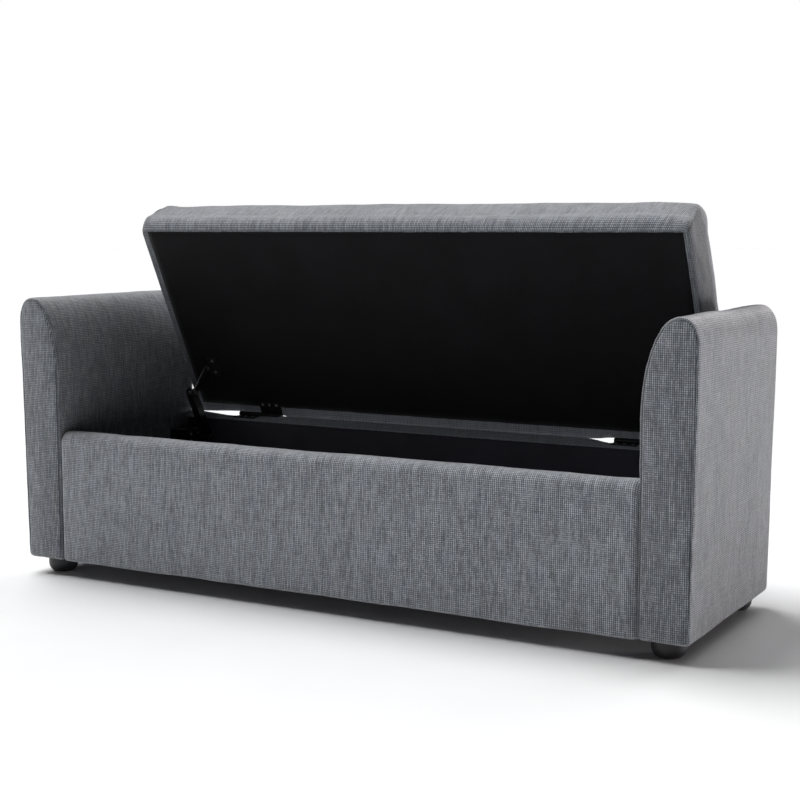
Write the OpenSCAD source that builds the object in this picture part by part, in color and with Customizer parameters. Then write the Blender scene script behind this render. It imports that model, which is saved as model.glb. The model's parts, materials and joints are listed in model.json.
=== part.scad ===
// Storage bench: two padded arms, a low upholstered box between them, and a padded lid
// on two hinges, held open by two folding stays. Origin at the centre of the footprint on
// the floor, +X along the bench to its right arm, +Y to its back, +Z up. The lid is drawn
// open at lid_open; its pieces are laid out closed, then turned about the hinge axis.

/* [Bench] */
// Clear width between the two arms
seat_w = 1200; // [1100:10:1300]
// Depth of the arms and the box, front to back
depth = 448; // [430:2:480]
// Height of the feet, from the floor to the underside
foot_h = 30; // [24:1:40]
// Height of the front panel's top edge
panel_top = 289; // [280:1:289]

/* [Arms] */
// Height of the arms
arm_top = 550; // [535:1:570]
// Thickness of an arm at its foot
arm_t = 89; // [86:1:94]
// How far the outer face leans out at shoulder height
arm_flare = 7; // [4:1:10]
// Height of the large round over the inner edge
inner_round_h = 160; // [150:1:165]
// Height of the small round over the outer edge
outer_round_h = 46; // [42:1:50]

/* [Lid] */
// Angle the lid stands open at
lid_open = 64; // [40:1:75]
// Depth of the lid from the hinge axis to its front edge
lid_d = 452; // [450:1:456]
// Thickness of the lid, lining to crown
lid_t = 126; // [110:1:130]
// Gap between each end of the lid and the arm
lid_gap = 5; // [4:1:8]
// Width of the fabric border around the black lining
lid_border = 18; // [15:1:22]

/* [Hinges and stays] */
// Height of the hinge axis
hinge_z = 285; // [285:1:287]
// Distance of the hinge axis in front of the rear face
hinge_inset = 5; // [4:1:6]
// Distance of each hinge from the middle
hinge_x = 433; // [400:1:440]
// How far both hinges are shifted towards the right arm
hinge_shift = 7; // [0:1:10]
// Length of each half of a hinge
hinge_half = 54; // [50:1:56]
// Length of a stay's arm, equal to the distance of its lid pivot from the hinge axis
stay_arm_l = 113; // [108:1:116]
// How far the stay's base pivot lies in front of the hinge axis
stay_base_y = 41; // [39:1:43]
// How far the stay's base pivot lies below the hinge axis
stay_base_z = 48; // [46:1:50]

/* [Hidden] */
$fn = 48;
eps = 0.5;              // overrun of a cut
cloth = 2;              // thickness of the fabric covers
sheet = 1;              // thickness of linings and dust cover
ply = 15;               // thickness of the boards
arm_pad = 8;            // foam around an arm's frame
front_pad = 16;         // foam on the front panel
top_pad = 6;            // foam over the front panel's top edge
sides = [-1, 1];
half = seat_w / 2;
front = -depth / 2;
rear = depth / 2;
base = foot_h;                           // underside of the bench
board_z = base + sheet;                  // underside of the boards
frame_in = cloth + arm_pad;              // from an arm's surface to its frame
end_y = rear - frame_in - ply;           // inner face of an arm's end boards
crest = 62;                              // from an arm's inner face to its highest line
shoulder = arm_t + arm_flare;
side_ply = 12;                           // an arm's inner side board
tee_x = half + frame_in + side_ply;      // outer face of that board

// front panel, from its outer face inwards
front_board_y = front + cloth + front_pad;
front_lining_y = front_board_y + ply;
front_board_top = panel_top - cloth - top_pad;
front_board_half = half - cloth - 4;
return_z = 266;                          // where the front cover's inner return ends

// rear panel, from its outer face inwards
hinge_y = rear - hinge_inset;
leaf_lift = 5.5;                         // from the hinge axis to each leaf's outer face
rail_top = hinge_z - leaf_lift;
rear_face = rear - 1;
rear_rail_y = rear_face - cloth;         // outer face of the rear rails
rear_rail_t = 17;
rear_lining_y = rear_rail_y - rear_rail_t - ply;
rear_return_z = rail_top - cloth - 3.5;

// storage floor
bearer = 20;
floor_z = board_z + 5 + bearer;
floor_t = 9;
well_z = floor_z + floor_t + sheet;      // floor of the storage well

// corner blocks and the bolts through them
block_x = half - 48;
front_block_d = 40;
rear_block_d = 62;
rear_block_top = 253;
bolt_r = 3;
bolt_play = 0.2;
bolt_z = [100, 180];
front_bolt_y = front_lining_y + 21;
rear_bolt_y = rear_lining_y - 38;

// feet
foot_x = half + arm_t / 2 - 5;
foot_y = rear - 48;
foot_r = 29;
foot_flat_r = 15;                        // flat ring that stands on the floor
foot_curve = 18;                         // height of the round below the straight side
recess_r = 8.5;                          // recess of a foot's screw
stud_r = 4;

// lid levels above the hinge axis, with the lid closed
lid_half = half - lid_gap;
lining_u = leaf_lift;
border_u = lining_u + sheet;
board_u = border_u + cloth;
foam_u = board_u + ply;
crown_u = lining_u + lid_t;
lid_return = 40;                         // width of the cover's fold under the board
lid_round = 50;
lid_front_edge = 16;                     // rounds along the edges of the lid's underside
lid_end_edge = 12;
lid_rear_edge = 6;

// hinges
barrel_r = 5;
pin_r = 2.5;
leaf_t = 2;
rail_leaf_d = 29;
lid_leaf_d = 35;
knuckle_gap = 0.5;
run_fit = 0.05;
screw_r = 1.9;
head_r = 3.6;
head_h = 1.6;
leaf_screws = [10, 27, 44];              // along each leaf, from the hinge's middle
hinge_centres = [for (s = sides) s * hinge_x + hinge_shift];
rail_screw_y = -18;
lid_screw_y = -24;

// stays, as distances from the middle plane of the bench
plate_t = 2;
stay_plate_x = block_x - plate_t;
stay_arm_x = stay_plate_x - plate_t;     // outer side of the arm's channel
stay_arm_w = 16;
stay_link_x = stay_arm_x - stay_arm_w - 0.5;
stay_link_t = 2.5;
stay_ear_x = stay_link_x - stay_link_t - 0.5;
stay_r = 9;                              // half height of the arm
link_r = 7;
ear_r = 8;
rivet_r = 3;
rivet_head_r = 5;
rivet_head_h = 1.8;
open_play = 0.5;                         // clearance of the pivot left open at the lid
stay_drop = 4;                           // lid pivot below the plane of the hinge axis
pivot_y = -sqrt(pow(stay_arm_l, 2) - pow(stay_drop, 2));
base_y = hinge_y - stay_base_y;
base_z = hinge_z - stay_base_z;
plate_y = [-50, 9];                      // base plate about the base pivot
plate_z = [-15, 15];
plate_screws = [[-44, 8], [-44, -8], [-20, 8]];
bracket_d = 44;
bracket_w = 26;
bracket_screws = [-15, 13];              // along the lid, from its pivot
bracket_mid = stay_ear_x - bracket_w / 2;

// The arm and the link make a parallelogram with the hinge axis and the two outer pivots,
// so the arm turns by the same angle as the lid and the link keeps its direction.
lean = asin(stay_drop / stay_arm_l);
elbow_y = base_y - stay_arm_l * cos(lid_open - lean);
elbow_z = base_z + stay_arm_l * sin(lid_open - lean);
link_l = norm([stay_base_y, stay_base_z]);
link_tilt = atan2(stay_base_z, stay_base_y);

slate = [0.42, 0.44, 0.47];
black = [0.08, 0.08, 0.09];
steel = [0.16, 0.16, 0.17];
zinc = [0.72, 0.72, 0.70];
wood = [0.78, 0.65, 0.46];
foam = [0.90, 0.86, 0.66];

// ---------- outlines ----------

// Points of an elliptical arc from angle a0 to a1
function arc(cx, cy, rx, ry, a0, a1, n) =
    [for (i = [0:n]) let (a = a0 + (a1 - a0) * i / n) [cx + rx * cos(a), cy + ry * sin(a)]];

// Rectangle with its own radius at the low and high corners of each side
function soft_rect(x0, x1, y0, y1, r_low0, r_low1, r_high0, r_high1, n = 6) = concat(
    arc(x0 + r_low0, y0 + r_low0, r_low0, r_low0, 180, 270, n),
    arc(x1 - r_low1, y0 + r_low1, r_low1, r_low1, 270, 360, n),
    arc(x1 - r_high1, y1 - r_high1, r_high1, r_high1, 0, 90, n),
    arc(x0 + r_high0, y1 - r_high0, r_high0, r_high0, 90, 180, n));

// Front view of an arm, x from its inner face outwards, shrunk by g on top and sides
function arm_outline(g, bottom, r) = concat(
    arc(r + g, bottom + r, r, r, 270, 180, 4),
    arc(crest, arm_top - inner_round_h, crest - g, inner_round_h - g, 180, 90, 14),
    arc(crest + 5, arm_top - outer_round_h, shoulder - crest - 5 - g, outer_round_h - g,
        90, 0, 8),
    arc(arm_t - g - r, bottom + r, r, r, 0, -90, 4));

// Bar with round ends, from the origin along -Y
function bar_outline(length, r) = concat(
    arc(0, 0, r, r, -90, 90, 12), arc(-length, 0, r, r, 90, 270, 12));

// ---------- placing ----------

// Prism along X over an outline in the Y-Z plane
module along_x(x0, x1) {
    translate([x0, 0, 0]) rotate([90, 0, 90]) linear_extrude(x1 - x0) children();
}

// Prism along Y over an outline in the X-Z plane
module along_y(y0, y1) {
    translate([0, y1, 0]) rotate([90, 0, 0]) linear_extrude(y1 - y0) children();
}

// Cylinder along X between two places
module rod_x(x0, x1, y, z, r) {
    translate([x0, y, z]) rotate([0, 90, 0]) cylinder(r = r, h = x1 - x0);
}

module slab(x, y, z) {
    translate([x[0], y[0], z[0]]) cube([x[1] - x[0], y[1] - y[0], z[1] - z[0]]);
}

// Children drawn for the right side, put on side s
module on_side(s) {
    if (s > 0) children();
    else mirror([1, 0, 0]) children();
}

// Children drawn about the hinge axis with the lid closed, turned to the lid's open angle
module on_lid() {
    translate([0, hinge_y, hinge_z]) rotate([-lid_open, 0, 0]) children();
}

// ---------- arms ----------

module arm_form(g, bottom, r, rear_r, front_r) {
    intersection() {
        translate([half, 0, 0]) along_y(front, rear) polygon(arm_outline(g, bottom, r));
        along_x(half - eps, half + shoulder + eps)
            polygon(soft_rect(front + g, rear - g, bottom, arm_top - g,
                              max(r, 1), max(r, 1), front_r, rear_r));
    }
}

module arm_bolt_bores(r) {
    for (y = [front_bolt_y, rear_bolt_y], z = bolt_z)
        rod_x(half - eps, tee_x + eps, y, z, r);
}

module arm_cover(s) {
    color(slate) on_side(s) difference() {
        arm_form(0, base, 10, 28, 8);
        arm_form(cloth, base - eps, 8, 26, 6);
        arm_bolt_bores(bolt_r + bolt_play);
    }
}

module arm_padding(s) {
    color(foam) on_side(s) difference() {
        intersection() {
            arm_form(cloth, base - eps, 8, 26, 6);
            slab([half, half + shoulder], [front, rear], [board_z, arm_top]);
        }
        arm_form(frame_in, base - 2 * cloth, 1, 18, 1);
        arm_bolt_bores(bolt_r + bolt_play);
    }
}

module arm_end_boards(s) {
    color(wood) on_side(s) for (y = [-end_y - ply, end_y])
        intersection() {
            arm_form(frame_in, board_z, 1, 18, 1);
            slab([half, half + shoulder], [y, y + ply], [board_z, arm_top]);
        }
}

// Thick inner side board that takes the bolts, and a thin outer one
module arm_side_boards(s) {
    outer_x = half + arm_t - frame_in - 8;
    color(wood) on_side(s) {
        difference() {
            slab([half + frame_in, tee_x], [-end_y, end_y],
                 [board_z + ply, arm_top - inner_round_h]);
            arm_bolt_bores(bolt_r + 1.5);
        }
        slab([outer_x, outer_x + 6], [-end_y, end_y], [board_z + ply, arm_top - 70]);
    }
}

// Two rails under the round top, and a middle stud between the side boards
module arm_rails(s) {
    color(wood) on_side(s) {
        slab([half + 45, half + 75], [-end_y, end_y], [arm_top - 46, arm_top - 24]);
        slab([half + 22, half + 42], [-end_y, end_y], [arm_top - 126, arm_top - 101]);
        slab([tee_x, half + arm_t - frame_in - 8], [-15, 15],
             [board_z + ply, arm_top - inner_round_h]);
    }
}

module arm_base_board(s) {
    color(wood) on_side(s) difference() {
        slab([half + frame_in, half + arm_t - frame_in], [-end_y, end_y],
             [board_z, board_z + ply]);
        for (y = [-foot_y, foot_y])
            translate([foot_x, y, board_z - eps]) cylinder(r = stud_r, h = ply + 2 * eps);
    }
}

// ---------- front panel ----------

module front_form(g, bottom) {
    intersection() {
        along_x(-half, half)
            polygon(soft_rect(front + g, front_lining_y + cloth - g, bottom, panel_top - g,
                              1, 1, 20 - g, 8 - g));
        along_y(front, front_lining_y + cloth)
            polygon(soft_rect(-half + g, half - g, bottom, panel_top - g,
                              4, 4, 16 - g, 16 - g));
    }
}

module front_cover() {
    color(slate) difference() {
        front_form(0, base);
        front_form(cloth, base - 5);
        slab([-half - eps, half + eps], [front_lining_y - eps, front_lining_y + cloth + eps],
             [base - eps, return_z]);
    }
}

module front_padding() {
    color(foam) difference() {
        intersection() {
            front_form(cloth, base - 5);
            slab([-half, half], [front, front_lining_y], [board_z, panel_top]);
        }
        slab([-front_board_half, front_board_half], [front_board_y, front_lining_y + eps],
             [base, front_board_top]);
    }
}

module front_board() {
    color(wood) slab([-front_board_half, front_board_half], [front_board_y, front_lining_y],
                     [board_z, front_board_top]);
}

module front_lining() {
    color(black) slab([-half + cloth, half - cloth],
                      [front_lining_y, front_lining_y + sheet], [well_z, return_z - 1]);
}

// ---------- rear panel ----------

module rail_screw_bores(r) {
    for (c = hinge_centres, x = leaf_screws)
        translate([c - x, hinge_y + rail_screw_y, rail_top - 17.5])
            cylinder(r = r, h = 17.5 + eps);
}

module rear_cover() {
    color(slate) difference() {
        slab([-half, half], [rear_lining_y - cloth, rear_face], [base, rail_top]);
        slab([-half - eps, half + eps], [rear_lining_y, rear_rail_y],
             [base - eps, rail_top - cloth]);
        slab([-half - eps, half + eps], [rear_lining_y - cloth - eps, rear_lining_y + eps],
             [base - eps, rear_return_z]);
        rail_screw_bores(screw_r);
    }
}

module rear_board() {
    color(wood) difference() {
        slab([-half + cloth, half - cloth], [rear_lining_y, rear_lining_y + ply],
             [board_z, rail_top - cloth]);
        rail_screw_bores(screw_r);
    }
}

// Upper and lower rails behind the rear board
module rear_rail() {
    y = [rear_lining_y + ply, rear_rail_y];
    color(wood) for (z = [board_z, rail_top - cloth - 45])
        slab([-half + cloth, half - cloth], y, [z, z + 45]);
}

module rear_lining() {
    color(black) slab([-half + sheet, half - sheet],
                      [rear_lining_y - sheet, rear_lining_y], [well_z, rear_return_z - 0.5]);
}

// ---------- floor ----------

module floor_board() {
    color(wood) slab([-half + cloth, half - cloth], [front_lining_y, rear_lining_y],
                     [floor_z, floor_z + floor_t]);
}

module floor_lining() {
    color(black) slab([-half + cloth, half - cloth], [front_lining_y, rear_lining_y],
                      [floor_z + floor_t, well_z]);
}

// A ledge along each panel and three battens across
module floor_bearers() {
    z = [floor_z - bearer, floor_z];
    color(wood) {
        slab([-block_x, block_x], [front_lining_y, front_lining_y + bearer], z);
        slab([-block_x, block_x], [rear_lining_y - bearer, rear_lining_y], z);
        for (x = [-half * 2 / 3, 0, half * 2 / 3])
            slab([x - 12, x + 12], [front_lining_y + bearer, rear_lining_y - bearer], z);
    }
}

// Black sheet under the box and under each arm
module dust_cover() {
    color(black) {
        slab([-half + cloth, half - cloth],
             [front_board_y, rear_lining_y + ply], [base, board_z]);
        for (s = sides) on_side(s) difference() {
            slab([half + frame_in, half + arm_t - frame_in], [-end_y, end_y],
                 [base, board_z]);
            for (y = [-foot_y, foot_y])
                translate([foot_x, y, base - eps]) cylinder(r = stud_r, h = sheet + 2 * eps);
        }
    }
}

// ---------- corner blocks, bolts, feet ----------

module corner_block(y, top, bolt_y) {
    difference() {
        slab([block_x, half], y, [well_z, top]);
        for (z = bolt_z)
            rod_x(block_x - eps, half + eps, bolt_y, z, bolt_r + bolt_play);
    }
}

module front_corner_blocks() {
    y = front_lining_y + sheet;
    color(black) for (s = sides)
        on_side(s) corner_block([y, y + front_block_d], return_z - 1, front_bolt_y);
}

module rear_corner_blocks() {
    y = rear_lining_y - sheet;
    color(black) for (s = sides)
        on_side(s) difference() {
            corner_block([y - rear_block_d, y], rear_block_top, rear_bolt_y);
            for (p = plate_screws)
                rod_x(block_x - eps, block_x + 16, base_y + p[0], base_z + p[1], screw_r);
        }
}

module arm_bolts() {
    color(zinc) for (s = sides, y = [front_bolt_y, rear_bolt_y], z = bolt_z)
        on_side(s) difference() {
            union() {
                rod_x(block_x - 5, block_x, y, z, 6);
                rod_x(block_x - 1, tee_x + 6, y, z, bolt_r);
            }
            translate([block_x - 5 - eps, y, z]) rotate([0, 90, 0])
                cylinder(r = 2.6, h = 3 + eps, $fn = 6);
        }
}

module tee_nuts() {
    color(zinc) for (s = sides, y = [front_bolt_y, rear_bolt_y], z = bolt_z)
        on_side(s) difference() {
            union() {
                rod_x(tee_x - 8, tee_x, y, z, bolt_r + 1.5);
                rod_x(tee_x, tee_x + 1.5, y, z, 9);
            }
            rod_x(tee_x - 8 - eps, tee_x + 1.5 + eps, y, z, bolt_r);
        }
}

module foot(s, y) {
    color(black) translate([s * foot_x, y, 0]) difference() {
        rotate_extrude($fn = 64) polygon(concat(
            [[0, 0]], arc(foot_flat_r, foot_curve, foot_r - foot_flat_r, foot_curve, -90, 0, 10),
            [[foot_r, foot_h], [0, foot_h]]));
        translate([0, 0, -eps]) cylinder(r = stud_r, h = foot_h + 2 * eps);
        translate([0, 0, -eps]) cylinder(r = recess_r, h = 12 + eps);
    }
}
module front_left_foot() { foot(-1, -foot_y); }
module front_right_foot() { foot(1, -foot_y); }
module rear_left_foot() { foot(-1, foot_y); }
module rear_right_foot() { foot(1, foot_y); }

module foot_screws() {
    color(zinc) for (s = sides, y = [-foot_y, foot_y])
        translate([s * foot_x, y, 7]) difference() {
            union() {
                cylinder(r = 7.5, h = 5);
                cylinder(r = stud_r, h = foot_h + ply + 2);
            }
            translate([0, 0, -eps]) cylinder(r = 3.4, h = 3 + eps, $fn = 6);
        }
}

// ---------- hinges ----------

module pan_screw(length) {
    cylinder(r = screw_r, h = length);
    translate([0, 0, length]) difference() {
        cylinder(r1 = head_r, r2 = head_r - 0.9, h = head_h);
        for (a = [0, 90]) rotate(a)
            translate([-2, -0.35, head_h - 0.7]) cube([4, 0.7, 1]);
    }
}

module leaf_bores(direction, y) {
    for (x = leaf_screws)
        translate([direction * x, y, -leaf_lift - 1]) cylinder(r = screw_r, h = 2 * leaf_lift + 2);
}

// The half that lies on the rail, to the left of the hinge's middle
module hinge_rail_leaf(c) {
    x = [-hinge_half, -knuckle_gap];
    color(steel) translate([c, hinge_y, hinge_z]) difference() {
        union() {
            slab(x, [-rail_leaf_d, 0], [-leaf_lift, -leaf_lift + leaf_t]);
            rod_x(x[0], x[1], 0, 0, barrel_r);
        }
        rod_x(x[0] - eps, x[1] + eps, 0, 0, pin_r);
        leaf_bores(-1, rail_screw_y);
    }
}
module left_hinge_rail_leaf() { hinge_rail_leaf(hinge_centres[0]); }
module right_hinge_rail_leaf() { hinge_rail_leaf(hinge_centres[1]); }

// The half that lies under the lid, to the right of the hinge's middle
module hinge_lid_leaf(c) {
    x = [knuckle_gap, hinge_half];
    color(steel) on_lid() translate([c, 0, 0]) difference() {
        union() {
            slab(x, [-lid_leaf_d, 0], [leaf_lift - leaf_t, leaf_lift]);
            rod_x(x[0], x[1], 0, 0, barrel_r);
        }
        rod_x(x[0] - eps, x[1] + eps, 0, 0, pin_r + run_fit);
        leaf_bores(1, lid_screw_y);
    }
}
module left_hinge_lid_leaf() { hinge_lid_leaf(hinge_centres[0]); }
module right_hinge_lid_leaf() { hinge_lid_leaf(hinge_centres[1]); }

module hinge_pins() {
    color(steel) for (c = hinge_centres)
        rod_x(c - hinge_half, c + hinge_half + 1, hinge_y, hinge_z, pin_r);
}

module hinge_rail_screws() {
    color(zinc) for (c = hinge_centres, x = leaf_screws)
        translate([c - x, hinge_y + rail_screw_y, rail_top - 16])
            pan_screw(16 + leaf_t);
}

module lid_screw_bores(r) {
    for (c = hinge_centres, x = leaf_screws)
        translate([c + x, lid_screw_y, lining_u - eps]) cylinder(r = r, h = 15 + eps);
    for (s = sides, y = bracket_screws)
        translate([s * bracket_mid, pivot_y + y, lining_u - eps])
            cylinder(r = r, h = 15 + eps);
}

module hinge_lid_screws() {
    color(zinc) on_lid() for (c = hinge_centres, x = leaf_screws)
        translate([c + x, lid_screw_y, lining_u + 14]) mirror([0, 0, 1])
            pan_screw(14 + leaf_t);
}

// ---------- lid ----------

module lid_form(g, low) {
    intersection() {
        along_x(-lid_half, lid_half)
            polygon(soft_rect(-lid_d + g, -g, low, crown_u - g, lid_front_edge - g,
                              lid_rear_edge - g, lid_round - g, lid_round - g));
        along_y(-lid_d, 0)
            polygon(soft_rect(-lid_half + g, lid_half - g, low, crown_u - g, lid_end_edge - g,
                              lid_end_edge - g, lid_round - g, lid_round - g));
    }
}

module lid_board_form() {
    slab([-lid_half + lid_end_edge, lid_half - lid_end_edge],
         [-lid_d + lid_front_edge, -lid_rear_edge], [board_u, foam_u]);
}

module lid_board() {
    color(wood) on_lid() difference() {
        lid_board_form();
        lid_screw_bores(screw_r);
    }
}

// Foam over the board and round its edges
module lid_foam() {
    color(foam) on_lid() difference() {
        lid_form(cloth, board_u);
        lid_board_form();
    }
}

module lid_cover() {
    color(slate) on_lid() difference() {
        lid_form(0, border_u);
        lid_form(cloth, board_u);
        slab([-lid_half + lid_return, lid_half - lid_return],
             [-lid_d + lid_return, -lid_return], [border_u - eps, board_u + eps]);
        lid_screw_bores(screw_r);
    }
}

module lid_lining() {
    color(black) on_lid() difference() {
        slab([-lid_half + lid_border, lid_half - lid_border],
             [-lid_d + lid_border, -lid_border], [lining_u, border_u]);
        lid_screw_bores(screw_r);
    }
}

// ---------- stays ----------

module rivet_x(x0, x1, y, z) {
    rod_x(x0, x1, y, z, rivet_r);
    rod_x(x0 - rivet_head_h, x0, y, z, rivet_head_r);
}

module stay_base(s) {
    color(steel) on_side(s) difference() {
        along_x(stay_plate_x, block_x)
            polygon(soft_rect(base_y + plate_y[0], base_y + plate_y[1],
                              base_z + plate_z[0], base_z + plate_z[1], 5, 5, 5, 5));
        for (p = plate_screws)
            rod_x(stay_plate_x - eps, block_x + eps, base_y + p[0], base_z + p[1], screw_r);
        rod_x(stay_plate_x - eps, block_x + eps, base_y, base_z, rivet_r);
    }
}

module stay_base_rivets() {
    color(zinc) for (s = sides) on_side(s)
        rivet_x(stay_arm_x - stay_arm_w, block_x, base_y, base_z);
}

module stay_base_screws() {
    color(zinc) for (s = sides, p = plate_screws)
        on_side(s) translate([block_x + 15, base_y + p[0], base_z + p[1]])
            rotate([0, -90, 0]) pan_screw(15 + plate_t);
}

// Children drawn along -Y from the base pivot, turned to the arm's direction
module on_arm() {
    translate([0, base_y, base_z]) rotate([lean - lid_open, 0, 0]) children();
}

// Channel from the base pivot to the elbow, open towards the lid
module stay_arm(s) {
    x0 = stay_arm_x - stay_arm_w;
    color(steel) on_side(s) on_arm()
        difference() {
            union() {
                for (x = [x0, stay_arm_x - plate_t])
                    along_x(x, x + plate_t) polygon(bar_outline(stay_arm_l, stay_r));
                slab([x0, stay_arm_x], [-stay_arm_l, -stay_r], [-stay_r, -stay_r + plate_t]);
            }
            rod_x(x0 - eps, stay_arm_x + eps, 0, 0, rivet_r + run_fit);
            rod_x(x0 - eps, stay_arm_x + eps, -stay_arm_l, 0, rivet_r);
        }
}

module elbow_rivet(s) {
    color(zinc) on_side(s) on_arm()
        rivet_x(stay_link_x - stay_link_t, stay_arm_x, -stay_arm_l, 0);
}

// Flat bar from the elbow up to the lid pivot
module stay_link(s) {
    x = [stay_link_x - stay_link_t, stay_link_x];
    color(steel) on_side(s) translate([0, elbow_y, elbow_z])
        rotate([link_tilt + 180, 0, 0]) difference() {
            along_x(x[0], x[1]) polygon(bar_outline(link_l, link_r));
            rod_x(x[0] - eps, x[1] + eps, 0, 0, rivet_r + run_fit);
            rod_x(x[0] - eps, x[1] + eps, -link_l, 0, rivet_r + open_play);
        }
}

// Plate under the lid with an ear that drops to the lid pivot
module stay_bracket(s) {
    ear_x = [stay_ear_x - plate_t, stay_ear_x];
    color(steel) on_side(s) on_lid() difference() {
        union() {
            slab([stay_ear_x - bracket_w, stay_ear_x],
                 [pivot_y - bracket_d / 2, pivot_y + bracket_d / 2],
                 [lining_u - plate_t, lining_u]);
            slab(ear_x, [pivot_y - ear_r, pivot_y + ear_r], [-stay_drop, lining_u - 1]);
            rod_x(ear_x[0], ear_x[1], pivot_y, -stay_drop, ear_r);
        }
        rod_x(ear_x[0] - eps, ear_x[1] + eps, pivot_y, -stay_drop, rivet_r);
        for (y = bracket_screws)
            translate([bracket_mid, pivot_y + y, 0]) cylinder(r = screw_r, h = 2 * lining_u);
    }
}

// Rivets fixed in the ears; each passes its link with play and ends in a washer head
module stay_bracket_rivets() {
    tip = stay_link_x + 0.5;
    color(zinc) for (s = sides) on_side(s) on_lid() {
        rivet_x(stay_ear_x - plate_t, tip, pivot_y, -stay_drop);
        rod_x(tip - eps / 10, tip + 1, pivot_y, -stay_drop, rivet_head_r);
    }
}

module stay_bracket_screws() {
    color(zinc) on_lid() for (s = sides, y = bracket_screws)
        translate([s * bracket_mid, pivot_y + y, lining_u + 14]) mirror([0, 0, 1])
            pan_screw(14 + plate_t);
}

arm_cover(-1);  // left_arm_cover
arm_cover(1);  // right_arm_cover
arm_padding(-1);  // left_arm_padding
arm_padding(1);  // right_arm_padding
arm_end_boards(-1);  // left_arm_end_boards
arm_end_boards(1);  // right_arm_end_boards
arm_side_boards(-1);  // left_arm_side_boards
arm_side_boards(1);  // right_arm_side_boards
arm_rails(-1);  // left_arm_rails
arm_rails(1);  // right_arm_rails
arm_base_board(-1);  // left_arm_base_board
arm_base_board(1);  // right_arm_base_board
front_cover();
front_padding();
front_board();
front_lining();
rear_cover();
rear_board();
rear_rail();
rear_lining();
floor_board();
floor_lining();
floor_bearers();
dust_cover();
front_corner_blocks();
rear_corner_blocks();
arm_bolts();
tee_nuts();
front_left_foot();
front_right_foot();
rear_left_foot();
rear_right_foot();
foot_screws();
left_hinge_rail_leaf();
right_hinge_rail_leaf();
hinge_pins();
hinge_rail_screws();
left_hinge_lid_leaf();
right_hinge_lid_leaf();
hinge_lid_screws();
lid_board();
lid_foam();
lid_cover();
lid_lining();
stay_base(-1);  // left_stay_base
stay_base(1);  // right_stay_base
stay_base_rivets();
stay_base_screws();
stay_arm(-1);  // left_stay_arm
stay_arm(1);  // right_stay_arm
elbow_rivet(-1);  // left_elbow_rivet
elbow_rivet(1);  // right_elbow_rivet
stay_link(-1);  // left_stay_link
stay_link(1);  // right_stay_link
stay_bracket(-1);  // left_stay_bracket
stay_bracket(1);  // right_stay_bracket
stay_bracket_rivets();
stay_bracket_screws();
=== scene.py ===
"""Looks of the storage bench: woven covers, padding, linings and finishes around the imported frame.

Everything is in metres, in the frame's own axes: +X along the bench to its right arm, +Y to its
back, +Z up. Sizes are worked out from the boxes of the frame's nodes.
"""

import json
import math

import bmesh
import bpy
import numpy as np
from mathutils import Matrix, Vector, noise

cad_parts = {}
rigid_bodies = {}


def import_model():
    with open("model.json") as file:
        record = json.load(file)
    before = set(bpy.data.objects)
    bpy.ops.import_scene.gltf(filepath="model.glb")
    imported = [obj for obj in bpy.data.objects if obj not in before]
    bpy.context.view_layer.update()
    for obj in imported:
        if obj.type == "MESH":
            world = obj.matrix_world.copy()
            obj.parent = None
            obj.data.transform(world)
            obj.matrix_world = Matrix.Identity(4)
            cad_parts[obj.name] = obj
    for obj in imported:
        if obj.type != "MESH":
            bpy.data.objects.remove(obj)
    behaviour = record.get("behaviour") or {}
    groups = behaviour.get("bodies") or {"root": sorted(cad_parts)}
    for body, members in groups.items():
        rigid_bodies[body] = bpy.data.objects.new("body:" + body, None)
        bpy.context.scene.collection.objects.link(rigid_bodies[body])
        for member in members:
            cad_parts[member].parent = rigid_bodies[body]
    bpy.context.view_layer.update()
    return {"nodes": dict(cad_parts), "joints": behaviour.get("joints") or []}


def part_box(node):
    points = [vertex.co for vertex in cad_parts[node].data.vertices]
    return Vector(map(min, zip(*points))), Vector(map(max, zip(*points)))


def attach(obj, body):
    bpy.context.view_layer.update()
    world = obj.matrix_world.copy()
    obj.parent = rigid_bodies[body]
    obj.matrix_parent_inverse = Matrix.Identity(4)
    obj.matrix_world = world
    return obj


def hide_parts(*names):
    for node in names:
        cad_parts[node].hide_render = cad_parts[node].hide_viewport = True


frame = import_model()

BENCH, LID = "bench", "lid"


# ---------- camera, light and floor ----------

CAMERA_AT = (1.4453, -2.4742, 0.6927)
CAMERA_TURN = 29.555  # degrees to the right of straight ahead
CAMERA_TILT = 6.577  # degrees above the horizon
CAMERA_ROLL = -0.11
CAMERA_LENS = 68.70
LIGHT_AIM = (0, 0, 0.35)


def make_camera():
    """A camera at the place and angle from which the bench is shown."""
    data = bpy.data.cameras.new("camera")
    data.lens = CAMERA_LENS
    data.sensor_width = 36
    camera = bpy.data.objects.new("camera", data)
    bpy.context.scene.collection.objects.link(camera)
    turn = Matrix.Rotation(math.radians(CAMERA_TURN), 4, "Z")
    tilt = Matrix.Rotation(math.radians(90 - CAMERA_TILT), 4, "X")
    roll = Matrix.Rotation(math.radians(CAMERA_ROLL), 4, "Z")
    camera.matrix_world = Matrix.Translation(CAMERA_AT) @ turn @ tilt @ roll
    bpy.context.scene.camera = camera


def add_light(name, kind, energy, heading):
    """A light that shines along heading, with its data."""
    data = bpy.data.lights.new(name, kind)
    data.energy = energy
    light = bpy.data.objects.new(name, data)
    bpy.context.scene.collection.objects.link(light)
    light.rotation_euler = Vector(heading).to_track_quat("-Z", "Y").to_euler()
    return light, data


def soft_light(name, place, size, watts, colour):
    """A rectangular lamp that points at the bench."""
    light, data = add_light(name, "AREA", watts, Vector(LIGHT_AIM) - Vector(place))
    light.location = place
    data.shape = "RECTANGLE"
    data.size, data.size_y = size
    data.color = colour


def soft_sun(name, direction, strength, spread_deg):
    """Distant light from direction, as wide as spread_deg."""
    _, data = add_light(name, "SUN", strength, -Vector(direction))
    data.angle = math.radians(spread_deg)


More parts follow.
